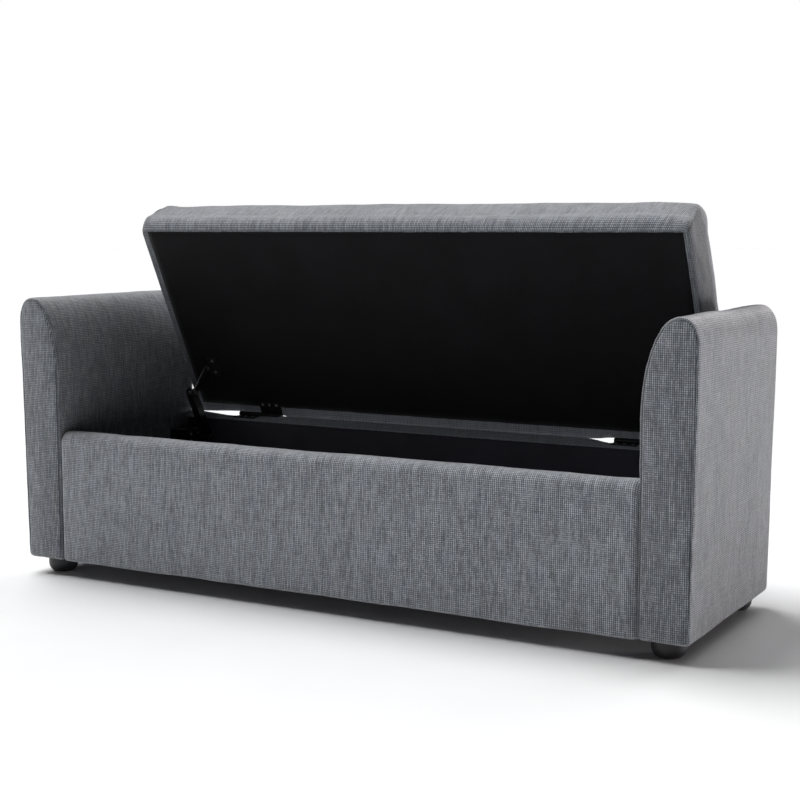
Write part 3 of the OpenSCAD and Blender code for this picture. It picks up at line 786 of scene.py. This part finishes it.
def make_rear_panel():
    """The cover of the rear panel and its rail, turned in over the top of the board."""
    low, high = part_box("rear_cover")
    lining_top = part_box("rear_lining")[1]
    face, inner, top, base = high.y, low.y, high.z, low.z
    board_face = lining_top.y + BOARD_GAP
    knuckle_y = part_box("hinge_pins")[0].y - KNUCKLE_GAP

    def section(x, g):
        side, shoulder = face - g, top - RAIL_ROUND
        loop = corner(side - REAR_FOOT_ROUND, base + REAR_FOOT_ROUND, REAR_FOOT_ROUND, 270, 360, 4)
        loop += line((side, base + REAR_FOOT_ROUND), (side, shoulder), 22)
        loop += corner(side - RAIL_ROUND, shoulder, RAIL_ROUND, 0, 80, 6)
        start, end = side - RAIL_ROUND - 0.001, inner + RAIL_ROUND
        for i, t in enumerate(np.linspace(0, math.pi, 11)[1:-1], 1):
            y = start + (end - start) * i / 10
            loop.append((y, top + rail_rise(x, y, knuckle_y) * math.sin(t) ** 0.4))
        loop += corner(end, shoulder, RAIL_ROUND, 100, 180, 6)
        loop += [(inner, lining_top.z + 0.001), (board_face, lining_top.z)]
        loop += line((board_face, lining_top.z), (board_face, base), 12)
        return loop + [(board_face, base + 0.0003)]

    middle = spread(low.x + REAR_END, high.x - REAR_END, PANEL_STEP)
    panel = loft_along_x("rear_upholstery", section, (0.0, REAR_END), middle, REAR_SHIFT,
                         ["rear_cover"])
    # the top and the inner side stay as they are, close to the lid and the lining
    ripple(panel, REAR_RIPPLE, lambda p: (p[:, 1] > face - 0.02) * (p[:, 2] < top - 0.01))
    subdivide(panel)


# ---------- lid ----------

HINGE = next(joint for joint in frame["joints"] if joint["name"] == "lid_hinge")
LID_OPEN = math.radians(-HINGE["range_deg"][0])
LID_PLACE = Matrix.Translation(HINGE["pos_m"]) @ Matrix.Rotation(-LID_OPEN, 4, "X")
PAD_STEP, PAD_FINE_STEP = 0.011, 0.005  # between rows of the top, in the middle and at the edges
PAD_SIDE_STEP = 0.009
PAD_ROUND = 0.046
PAD_END_ROUND = 0.024  # length along the bench of the round at each end of the pad
PAD_REACH = (PAD_END_ROUND, PAD_ROUND)
PAD_EDGE_RISE = 0.030  # height of the round along the edges of the underside
PAD_EDGE_FRONT, PAD_EDGE_REAR = 0.016, 0.001  # how deep it goes
PAD_EDGE_LEFT, PAD_EDGE_RIGHT = 0.003, 0.010
PAD_SIDE = 0.012  # round of the pad's upright corners
PAD_FULLNESS = 0.003  # how far the stuffing lifts the top of the pad
PAD_RIPPLE = [(0.0022, (0.16, 0.12, 0.12)), (0.0008, (0.05, 0.05, 0.04))]
REAR_FULLNESS = 0.006  # how much more it lifts the top at the rear
FRONT_CROWN = 0.013  # how far the stuffing pushes out the pad's front side
FRONT_REACH = 0.05  # depth over which that fades out
CORNER_RUN = 0.07  # distance from each end over which the front's fullness changes
CORNER_LIFT = {-1: 0.28, 1: -0.60}  # by which share, at the left and the right corner
CORNER_DROP = (0.022, 0.010)  # how far the upper right corner gives way, back and down
PAD_END_SLACK = 0.0042  # most by which the stuffing pushes out the pad's ends
HEM_DEPTH, HEM_HEIGHT = 0.016, 0.03  # of the part of the rear edge that hangs

SWELL_STIFFNESS = 12.0
SWELL_FRAMES = 20
SWELL_PRESSURE = 5.0
SWELL_REACH = 0.010
SWELL_SLACK = 0.008  # share by which the cloth is larger than the form it starts from
HELD_SHARE = 0.005  # the cloth is held up to this share of the edges' round


def on_lid(points):
    """Places drawn about the hinge axis with the lid closed, turned to the open lid."""
    matrix = np.array(LID_PLACE)
    return np.asarray(points) @ matrix[:3, :3].T + matrix[:3, 3]


def off_lid(places):
    """The reverse of on_lid."""
    matrix = np.array(LID_PLACE.inverted())
    return np.asarray(places) @ matrix[:3, :3].T + matrix[:3, 3]


def lid_box(node):
    """Corners of a node that rides on the lid, drawn about the hinge axis with the lid closed."""
    found = off_lid([v.co for v in frame["nodes"][node].data.vertices])
    return Vector(found.min(0)), Vector(found.max(0))


def edge_spaced(half):
    """Places from -half to half, closer together near both ends."""
    ends = np.linspace(0, PAD_FINE_STEP * 5, 6)
    middle = spread(-half + PAD_FINE_STEP * 5, half - PAD_FINE_STEP * 5, PAD_STEP)
    return np.concatenate([-half + ends[:-1], middle, half - ends[:-1][::-1]])


def cloth_limit(half, reach):
    """Distance along the cloth from the middle of the top to the start of a side."""
    return half - reach + (reach + PAD_ROUND) * math.pi / 4


def over_edge(flat, half, reach):
    """Plan distance from the middle, and how upright the cloth lies, at a place on it."""
    bend = (reach + PAD_ROUND) / 2
    turn = np.clip((cloth_limit(half, reach) - np.abs(flat)) / bend, 0, math.pi / 2)
    bent = half - reach * (1 - np.cos(turn))
    return np.sign(flat) * np.where(turn < math.pi / 2, bent, np.abs(flat)), np.sin(turn)


def on_corners(x, y, half):
    """Moves plan places near the pad's upright corners onto their rounds."""
    far_x, far_y = half[0] - PAD_SIDE, half[1] - PAD_SIDE
    qx, qy = np.abs(x) - far_x, np.abs(y) - far_y
    near = (qx > 0) & (qy > 0)
    a, b = np.clip(qx / PAD_SIDE, 0, 1), np.clip(qy / PAD_SIDE, 0, 1)
    rx, ry = a * np.sqrt(1 - b * b / 2) * PAD_SIDE, b * np.sqrt(1 - a * a / 2) * PAD_SIDE
    x = np.where(near, np.sign(x) * (far_x + rx), x)
    return x, np.where(near, np.sign(y) * (far_y + ry), y)


def drawn_in(x, y, share, half):
    """Moves plan places inwards by a share of the rounds along the underside's edges."""
    aside = np.where(x < 0, PAD_EDGE_LEFT, PAD_EDGE_RIGHT)
    deep = np.where(y < 0, PAD_EDGE_FRONT, PAD_EDGE_REAR)
    return x * (1 - share * aside / half[0]), y * (1 - share * deep / half[1])


def pad_side(rim, edge, deep, levels, half):
    """Plan places and heights of one side, from the underside up to rim, and how far along the
    cloth each row lies, where the rim lies at edge. deep is the depth of the edge's round."""
    rows, falls = [], []
    climbed = run_length([(share * deep, z) for share, z in levels])
    for (share, z), fallen in zip(levels, climbed[-1] - climbed):
        x, y = drawn_in(*on_corners(*rim, half), share, half)
        rows.append(np.stack([x, y, np.full(len(x), z)], -1))
        falls.append(np.full(len(x), edge + math.copysign(fallen, edge)))
    return np.array(rows), np.array(falls)


def pad_sides(plan_x, plan_y, flat, levels, half):
    """Patches of the pad's four sides, about its middle."""
    limit_x, limit_y = (cloth_limit(h, reach) for h, reach in zip(half, PAD_REACH))
    patches = []
    for k, edge, deep in ((0, -limit_y, PAD_EDGE_FRONT), (-1, limit_y, PAD_EDGE_REAR)):
        rows, falls = pad_side((plan_x[:, k], plan_y[:, k]), edge, deep, levels, half)
        along = np.broadcast_to(flat[0] + PAD_SHIFT, falls.shape)
        patches.append((rows, np.stack([along, falls], -1)))
    for k, edge, deep in ((0, -limit_x, PAD_EDGE_LEFT), (-1, limit_x, PAD_EDGE_RIGHT)):
        rows, falls = pad_side((plan_x[k, :], plan_y[k, :]), edge, deep, levels, half)
        along = np.broadcast_to(flat[1], falls.shape)
        patches.append((rows, np.stack([falls + PAD_SHIFT, along], -1)))
    return patches


def pad_form(low, high):
    """Patches of the lid's pad: flat below, with upright sides and a rounded, crowned top."""
    middle = (low + high) / 2
    half = (high.x - low.x) / 2, (high.y - low.y) / 2
    top = high.z + PAD_FULLNESS
    flat = [edge_spaced(cloth_limit(h, reach)) for h, reach in zip(half, PAD_REACH)]
    grid_x, grid_y = np.meshgrid(*flat, indexing="ij")
    plan_x, rise_x = over_edge(grid_x, half[0], PAD_REACH[0])
    plan_y, rise_y = over_edge(grid_y, half[1], PAD_REACH[1])
    height = top - PAD_ROUND + PAD_ROUND * rise_x * rise_y
    upper = np.stack([*on_corners(plan_x, plan_y, half), height], -1)
    patches = [(upper, np.stack([grid_x + PAD_SHIFT, grid_y], -1))]

    levels = [(share, low.z + rise) for rise, share in quarter(PAD_EDGE_RISE, 1.0, 0, 90, 13)]
    upright = spread(low.z + PAD_EDGE_RISE, top - PAD_ROUND, PAD_SIDE_STEP)
    levels += [(0.0, z) for z in upright[1:]]
    patches += pad_sides(plan_x, plan_y, flat, levels, half)

    plan = np.meshgrid(plan_x[:, 0], plan_y[0, :], indexing="ij")
    x, y = drawn_in(*on_corners(*plan, half), 1.0, half)
    under = np.stack([x, y, np.full(x.shape, low.z)], -1)
    patches.append((under, np.stack([x + UNDER_SHIFT, y], -1)))
    return [(points + (middle.x, middle.y, 0), cloth) for points, cloth in patches]


def swell(obj, held, reach):
    """Cloth simulation: the cover swells like a stuffed one, each point by at most its reach."""
    start = vertex_places(obj.data)
    group = obj.vertex_groups.new(name="held")
    group.add([int(i) for i in np.nonzero(held)[0]], 1.0, "REPLACE")
    cloth = obj.modifiers.new("cloth", "CLOTH")
    settings = cloth.settings
    settings.quality = 6
    settings.mass = 0.35
    settings.tension_stiffness = settings.compression_stiffness = SWELL_STIFFNESS
    settings.shear_stiffness = SWELL_STIFFNESS / 2
    settings.bending_stiffness = 1.2
    settings.tension_damping = settings.compression_damping = 12
    settings.air_damping = 4
    settings.use_pressure = True
    settings.uniform_pressure_force = SWELL_PRESSURE
    settings.vertex_group_mass = "held"
    settings.shrink_min = settings.shrink_max = -SWELL_SLACK
    settings.effector_weights.gravity = 0
    cloth.collision_settings.use_collision = False
    cloth.point_cache.frame_start, cloth.point_cache.frame_end = 1, SWELL_FRAMES
    scene = bpy.context.scene
    for step in range(1, SWELL_FRAMES + 1):
        scene.frame_set(step)
    graph = bpy.context.evaluated_depsgraph_get()
    swollen = obj.evaluated_get(graph)
    move = vertex_places(swollen.to_mesh()) - start
    swollen.to_mesh_clear()
    obj.modifiers.remove(cloth)
    obj.vertex_groups.remove(group)
    scene.frame_set(1)
    far = np.linalg.norm(move, axis=1)
    move *= np.minimum(1, reach / np.maximum(far, 1e-9))[:, None]
    set_vertices(obj, start + move)


def fill_out(local, low, high):
    """Gives the pad its full front, its raised rear and its soft upper right corner."""
    height = np.clip((local[:, 2] - low.z) / (high.z - low.z), 0, 1)
    near_end = fading(high.x - np.abs(local[:, 0]), CORNER_RUN)
    lift = np.where(local[:, 0] < 0, CORNER_LIFT[-1], CORNER_LIFT[1])
    front_side = fading(local[:, 1] - low.y, FRONT_REACH)
    crown = FRONT_CROWN * (1 + lift * near_end) * np.sin(math.pi * height ** 0.7)
    gives = np.clip(2 * near_end - 1, 0, 1) * height * front_side * (local[:, 0] > 0)
    local[:, 0] -= CORNER_DROP[1] * gives
    local[:, 1] += CORNER_DROP[0] * gives - crown * front_side
    local[:, 2] -= CORNER_DROP[1] * gives
    rearward = np.clip((local[:, 1] - low.y) / (high.y - low.y), 0, 1)
    local[:, 2] += REAR_FULLNESS * height * rearward
    widest = high.x + PAD_END_SLACK
    local[:, 0] = np.clip(local[:, 0], -widest, widest)


def hang_hem(local, low, high):
    """Lets the pad's rear edge hang and bulge where no hinge holds it."""
    hem = fading(high.y - local[:, 1], HEM_DEPTH)
    hem *= fading(local[:, 2] - low.z, HEM_HEIGHT) * clear_of(HELD_SPANS, local[:, 0])
    local[:, 2] -= HEM_SAG * hem
    local[:, 1] += HEM_BULGE * hem


def make_lid_pad():
    """The lid's cover with its foam, swollen by a cloth simulation in a full run."""
    low, high = lid_box("lid_cover")
    patches = [(on_lid(points), cloth) for points, cloth in pad_form(low, high)]
    pad = piece("lid_upholstery", patches, FABRIC, LID, ["lid_cover", "lid_foam"])

    def edge_share(places):
        """0 on the underside, 1 above the round of its edges."""
        return np.clip((off_lid(places)[:, 2] - low.z) / PAD_EDGE_RISE, 0, 1)

    share = edge_share(vertex_places(pad.data))
    swell(pad, share < HELD_SHARE, SWELL_REACH * share)
    ripple(pad, PAD_RIPPLE, edge_share)
    local = off_lid(vertex_places(pad.data))
    fill_out(local, low, high)
    hang_hem(local, low, high)
    set_vertices(pad, on_lid(local))
    subdivide(pad)


# ---------- linings ----------

SHEET_STEP = 0.012
SHEET_LIFT = 0.0004  # most by which a lining lies above or below its place
SHEET_EDGE = 0.02  # how far from its edges a lining is wavy
WAVE_SIZE = 0.022
BOX_WAVE, WIDE_WAVE = 0.0008, 0.0016  # how wavy the edges of the sheets are


def sheet_layers(low, high, axes, thin_axis, wave):
    """Both faces of a thin cloth that fills a box, and their places on the flat cloth."""
    width, length = (high[k] - low[k] for k in axes)
    u, v = np.meshgrid(spread(0, width, SHEET_STEP), spread(0, length, SHEET_STEP), indexing="ij")
    near = fading(np.minimum.reduce([u, width - u, v, length - v]), SHEET_EDGE)
    seed = 31.7 * (1 + len(bpy.data.objects))

    def wander(a, b):
        return np.vectorize(
            lambda p, q: noise.noise(Vector((p / WAVE_SIZE, q / WAVE_SIZE, seed))))(a, b)

    rough = wander(u * 0.2, v * 0.2) * SHEET_LIFT * (1 - near)
    rough += wander(u, v) * SHEET_LIFT * near
    layer = np.zeros((*u.shape, 3))
    layer[..., axes[0]] = low[axes[0]] + np.clip(u + wave * near * wander(u, v + 3), 0, width)
    layer[..., axes[1]] = low[axes[1]] + np.clip(v + wave * near * wander(u + 5, v), 0, length)
    layers = []
    for level in (low[thin_axis], high[thin_axis]):
        layer[..., thin_axis] = level + rough
        layers.append(layer.copy())
    return layers, np.stack([u, v], -1)


def sheet_piece(name, node, thin_axis, body, wave=BOX_WAVE, on_the_lid=False):
    """A thin cloth over the place of a node, with slightly wavy stapled edges."""
    low, high = lid_box(node) if on_the_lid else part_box(node)
    axes = [k for k in range(3) if k != thin_axis]
    layers, flat = sheet_layers(low, high, axes, thin_axis, wave)
    patches = [(layer, flat) for layer in layers]
    for cut in ((slice(None), 0), (slice(None), -1), (0, slice(None)), (-1, slice(None))):
        patches.append(([layers[0][cut], layers[1][cut]], [flat[cut], flat[cut] + 0.001]))
    if on_the_lid:
        patches = [(on_lid(points), cloth) for points, cloth in patches]
    made = piece(name, patches, FINISHES["black_lining"], body, [node])


def make_linings():
    """The black cloths inside the box, on the lid and under the bench."""
    sheet_piece("lid_lining_cloth", "lid_lining", 2, LID,
                wave=WIDE_WAVE, on_the_lid=True)
    sheet_piece("front_lining_cloth", "front_lining", 1, BENCH)
    sheet_piece("rear_lining_cloth", "rear_lining", 1, BENCH)
    sheet_piece("floor_lining_cloth", "floor_lining", 2, BENCH)
    sheet_piece("dust_cover_cloth", "dust_cover", 2, BENCH,
                wave=WIDE_WAVE)


STAPLE_PITCH = 0.045
STAPLE_INSET = 0.009
STAPLE_MARGIN = 0.03  # from the corners of the cloth to the first staple of a row
STAPLE_WIRE = 0.0005
STAPLE_PATH = [(-0.0050, 0.0008), (-0.0050, 0.0), (-0.0045, -0.0004), (0.0045, -0.0004),
               (0.0050, 0.0), (0.0050, 0.0008)]  # along the staple, and up from the cloth
STAPLE_SWAY = (0.004, 0.003, 0.35)  # most by which a staple is off: in x, in y and in radians


def staple(x, y, z, angle):
    """A wire staple pressed against the underside of a cloth, as one grid of places."""
    turn = np.linspace(0, 2 * math.pi, 7)
    aim = np.array([math.cos(angle), math.sin(angle), 0.0])
    side = np.array([-aim[1], aim[0], 0.0])
    up = np.array([0.0, 0.0, 1.0])
    rows = []
    for k, (along, rise) in enumerate(STAPLE_PATH):
        lift = aim if k in (0, len(STAPLE_PATH) - 1) else up
        centre = np.array([x, y, z]) + aim * along + up * rise
        rows.append([centre + STAPLE_WIRE * (side * math.cos(t) + lift * math.sin(t))
                     for t in turn])
    return np.array(rows)


def make_staples():
    """Staples along the edges of the dust cover."""
    low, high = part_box("dust_cover")
    spots = []
    for x in spread(low.x + STAPLE_MARGIN, high.x - STAPLE_MARGIN, STAPLE_PITCH):
        spots += [(x, low.y + STAPLE_INSET, 0.0), (x, high.y - STAPLE_INSET, 0.0)]
    for y in spread(low.y + STAPLE_MARGIN, high.y - STAPLE_MARGIN, STAPLE_PITCH):
        spots += [(x, y, math.pi / 2) for x in (low.x + STAPLE_INSET, high.x - STAPLE_INSET)]
    patches = []
    for k, (x, y, angle) in enumerate(spots):
        sway = [most * noise.noise(Vector((k * 3.7, c * 9.1, 0.5)))
                for c, most in enumerate(STAPLE_SWAY)]
        wire = staple(x + sway[0], y + sway[1], low.z, angle + sway[2])
        patches.append((wire, wire[..., :2]))
    piece("dust_cover_staples", patches, FINISHES["zinc_steel"], BENCH)


# ---------- making ----------

FABRIC = woven_fabric()
FINISHES = {
    "slate_fabric": FABRIC,
    "black_lining": black_lining(),
    "foam": open_foam(),
    "plywood": plywood(),
    "black_board": black_board(),
    "black_steel": black_steel(),
    "zinc_steel": zinc_steel(),
    "black_plastic": black_plastic(),
}


def finish_nodes():
    """Gives each frame node that still shows the material of its slot."""
    for node in frame["nodes"].values():
        if node.hide_render:
            continue
        for slot in node.material_slots:
            slot.material = FINISHES[slot.material.name.split(".")[0]]


make_camera()
bpy.context.scene.view_settings.view_transform = "Standard"
make_world(seen=1.0, cast=0.02)
make_floor()
soft_sun("top_light", direction=(-0.68, 0.14, 1.0), strength=4.2, spread_deg=50)
soft_sun("rear_light", direction=(0.15, 1.0, 0.9), strength=0.9, spread_deg=40)
soft_light("right_light", (3.0, 1.5, 0.2), (1.4, 0.4), watts=38, colour=(1.0, 0.94, 0.93))
soft_light("front_light", (-1.8, -3.4, 0.7), (2.2, 1.0), watts=8, colour=(0.95, 0.97, 1.0))

make_arm("left", -1)
make_arm("right", 1)
make_front_panel()
make_rear_panel()
make_lid_pad()
make_linings()
make_staples()
finish_nodes()
